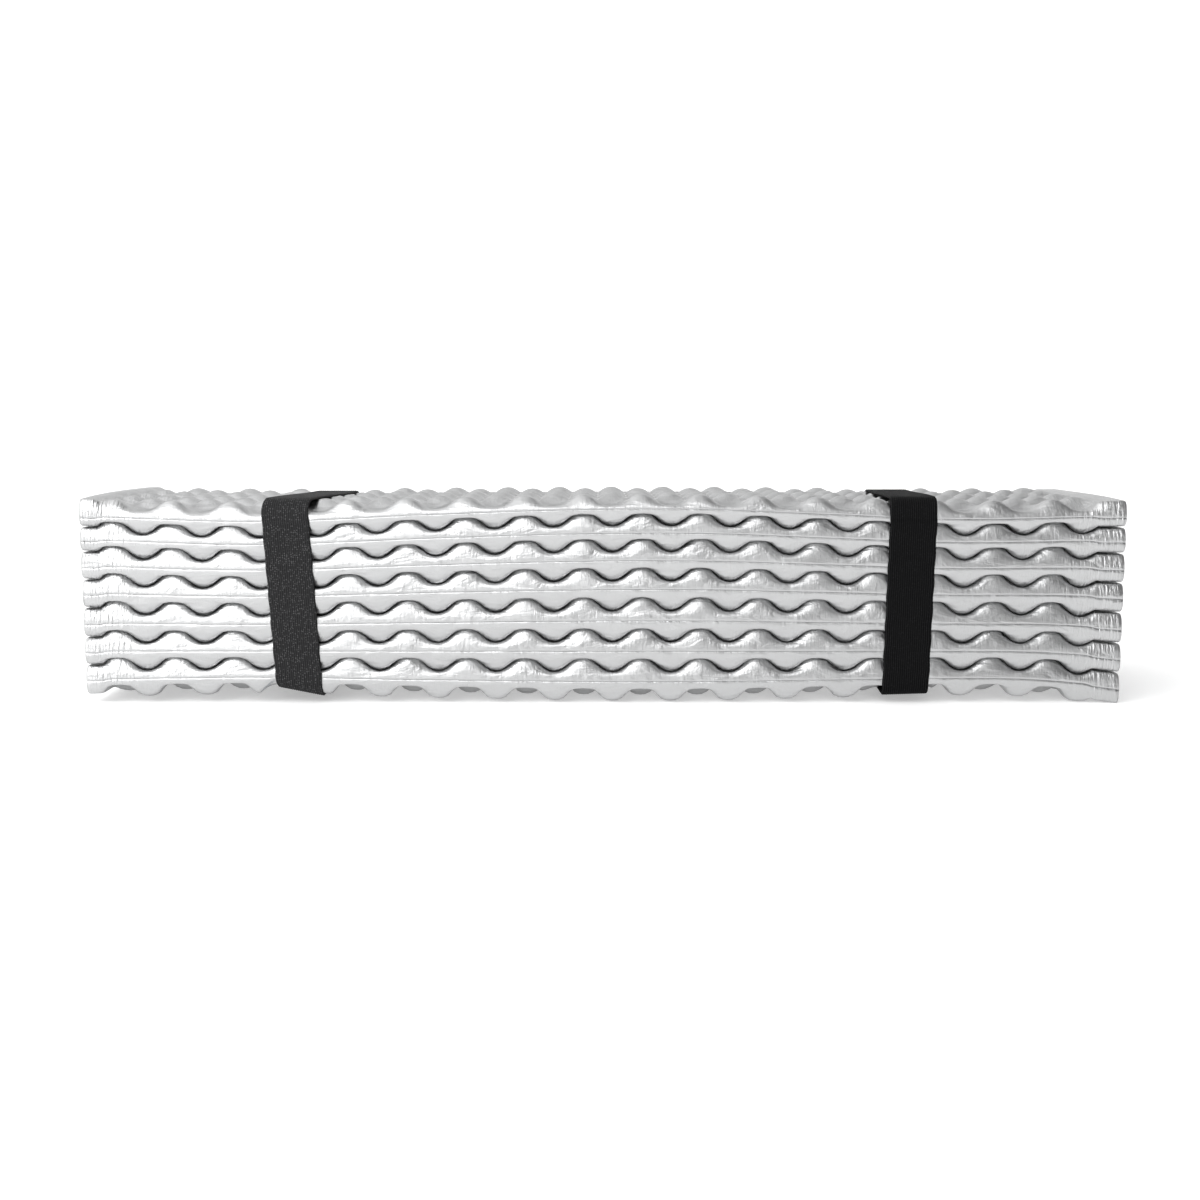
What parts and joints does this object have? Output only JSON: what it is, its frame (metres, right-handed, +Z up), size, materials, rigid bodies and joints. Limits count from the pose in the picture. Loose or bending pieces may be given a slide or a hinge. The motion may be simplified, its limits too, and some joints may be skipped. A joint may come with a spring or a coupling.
{
  "type": "foam sleeping pad",
  "caption": "Accordion-folded egg-crate foam sleeping pad with a silver metallised face, held closed by black elastic bands.",
  "frame": {"origin": "centre of the folded pad's footprint, on the surface it rests on", "axes": "+X along the folded pad's long side, to the right in front view; +Y from the front folds to the back; +Z up through the stack of panels"},
  "size_m": [0.56, 0.1372, 0.1164],
  "materials": {
    "foam": "matt closed-cell foam with a fine cell texture",
    "silver_film": "satin metallised film laminated to the foam",
    "fold_web": "creased film and pressed foam at a fold line",
    "elastic": "black woven elastic webbing with fine ribs",
    "band_join": "sewn overlap of the same webbing, with stitching"
  },
  "bodies": {
    "panel_01": {"foam_panel_01": "foam", "silver_film_01": "silver_film", "fold_web_01": "fold_web"},
    "panel_02": {"foam_panel_02": "foam", "silver_film_02": "silver_film", "fold_web_02": "fold_web"},
    "panel_03": {"foam_panel_03": "foam", "silver_film_03": "silver_film", "fold_web_03": "fold_web"},
    "panel_04": {"foam_panel_04": "foam", "silver_film_04": "silver_film", "fold_web_04": "fold_web"},
    "panel_05": {"foam_panel_05": "foam", "silver_film_05": "silver_film", "fold_web_05": "fold_web"},
    "panel_06": {"foam_panel_06": "foam", "silver_film_06": "silver_film", "fold_web_06": "fold_web"},
    "panel_07": {"foam_panel_07": "foam", "silver_film_07": "silver_film", "fold_web_07": "fold_web"},
    "panel_08": {"foam_panel_08": "foam", "silver_film_08": "silver_film", "fold_web_08": "fold_web"},
    "panel_09": {"foam_panel_09": "foam", "silver_film_09": "silver_film", "fold_web_09": "fold_web"},
    "panel_10": {"foam_panel_10": "foam", "silver_film_10": "silver_film", "fold_web_10": "fold_web"},
    "panel_11": {"foam_panel_11": "foam", "silver_film_11": "silver_film", "fold_web_11": "fold_web"},
    "panel_12": {"foam_panel_12": "foam", "silver_film_12": "silver_film", "fold_web_12": "fold_web"},
    "panel_13": {"foam_panel_13": "foam", "silver_film_13": "silver_film", "fold_web_13": "fold_web"},
    "panel_14": {"foam_panel_14": "foam", "silver_film_14": "silver_film"},
    "band_left": {"elastic_band_left": "elastic", "band_join_left": "band_join"},
    "band_right": {"elastic_band_right": "elastic", "band_join_right": "band_join"}
  },
  "joints": [
    {"name": "unfold_01", "type": "hinge", "parent": "panel_01", "child": "panel_02", "pos_m": [0, -0.0655, 0.0127], "axis": [1, 0, 0], "range_deg": [0, 180]},
    {"name": "unfold_02", "type": "hinge", "parent": "panel_02", "child": "panel_03", "pos_m": [0, 0.0655, 0.0204], "axis": [-1, 0, 0], "range_deg": [0, 180]},
    {"name": "unfold_03", "type": "hinge", "parent": "panel_03", "child": "panel_04", "pos_m": [0, -0.0655, 0.0281], "axis": [1, 0, 0], "range_deg": [0, 180]},
    {"name": "unfold_04", "type": "hinge", "parent": "panel_04", "child": "panel_05", "pos_m": [0, 0.0655, 0.0358], "axis": [-1, 0, 0], "range_deg": [0, 180]},
    {"name": "unfold_05", "type": "hinge", "parent": "panel_05", "child": "panel_06", "pos_m": [0, -0.0655, 0.0435], "axis": [1, 0, 0], "range_deg": [0, 180]},
    {"name": "unfold_06", "type": "hinge", "parent": "panel_06", "child": "panel_07", "pos_m": [0, 0.0655, 0.0512], "axis": [-1, 0, 0], "range_deg": [0, 180]},
    {"name": "unfold_07", "type": "hinge", "parent": "panel_07", "child": "panel_08", "pos_m": [0, -0.0655, 0.0589], "axis": [1, 0, 0], "range_deg": [0, 180]},
    {"name": "unfold_08", "type": "hinge", "parent": "panel_08", "child": "panel_09", "pos_m": [0, 0.0655, 0.0666], "axis": [-1, 0, 0], "range_deg": [0, 180]},
    {"name": "unfold_09", "type": "hinge", "parent": "panel_09", "child": "panel_10", "pos_m": [0, -0.0655, 0.0743], "axis": [1, 0, 0], "range_deg": [0, 180]},
    {"name": "unfold_10", "type": "hinge", "parent": "panel_10", "child": "panel_11", "pos_m": [0, 0.0655, 0.082], "axis": [-1, 0, 0], "range_deg": [0, 180]},
    {"name": "unfold_11", "type": "hinge", "parent": "panel_11", "child": "panel_12", "pos_m": [0, -0.0655, 0.0897], "axis": [1, 0, 0], "range_deg": [0, 180]},
    {"name": "unfold_12", "type": "hinge", "parent": "panel_12", "child": "panel_13", "pos_m": [0, 0.0655, 0.0974], "axis": [-1, 0, 0], "range_deg": [0, 180]},
    {"name": "unfold_13", "type": "hinge", "parent": "panel_13", "child": "panel_14", "pos_m": [0, -0.0655, 0.1051], "axis": [1, 0, 0], "range_deg": [0, 180]},
    {"name": "slip_band_left", "type": "slide", "parent": "panel_01", "child": "band_left", "axis": [-1, 0, 0], "range_m": [0, 0.16], "deforming": ["elastic_band_left", "band_join_left"]},
    {"name": "slip_band_right", "type": "slide", "parent": "panel_01", "child": "band_right", "axis": [1, 0, 0], "range_m": [0, 0.16], "deforming": ["elastic_band_right", "band_join_right"]}
  ],
  "couplings": [
    {"joint": "unfold_02", "follows": "unfold_01", "ratio": 1},
    {"joint": "unfold_03", "follows": "unfold_01", "ratio": 1},
    {"joint": "unfold_04", "follows": "unfold_01", "ratio": 1},
    {"joint": "unfold_05", "follows": "unfold_01", "ratio": 1},
    {"joint": "unfold_06", "follows": "unfold_01", "ratio": 1},
    {"joint": "unfold_07", "follows": "unfold_01", "ratio": 1},
    {"joint": "unfold_08", "follows": "unfold_01", "ratio": 1},
    {"joint": "unfold_09", "follows": "unfold_01", "ratio": 1},
    {"joint": "unfold_10", "follows": "unfold_01", "ratio": 1},
    {"joint": "unfold_11", "follows": "unfold_01", "ratio": 1},
    {"joint": "unfold_12", "follows": "unfold_01", "ratio": 1},
    {"joint": "unfold_13", "follows": "unfold_01", "ratio": 1},
    {"joint": "slip_band_left", "follows": "unfold_01", "m_per_rad": 0.0509},
    {"joint": "slip_band_right", "follows": "unfold_01", "m_per_rad": 0.0509}
  ]
}
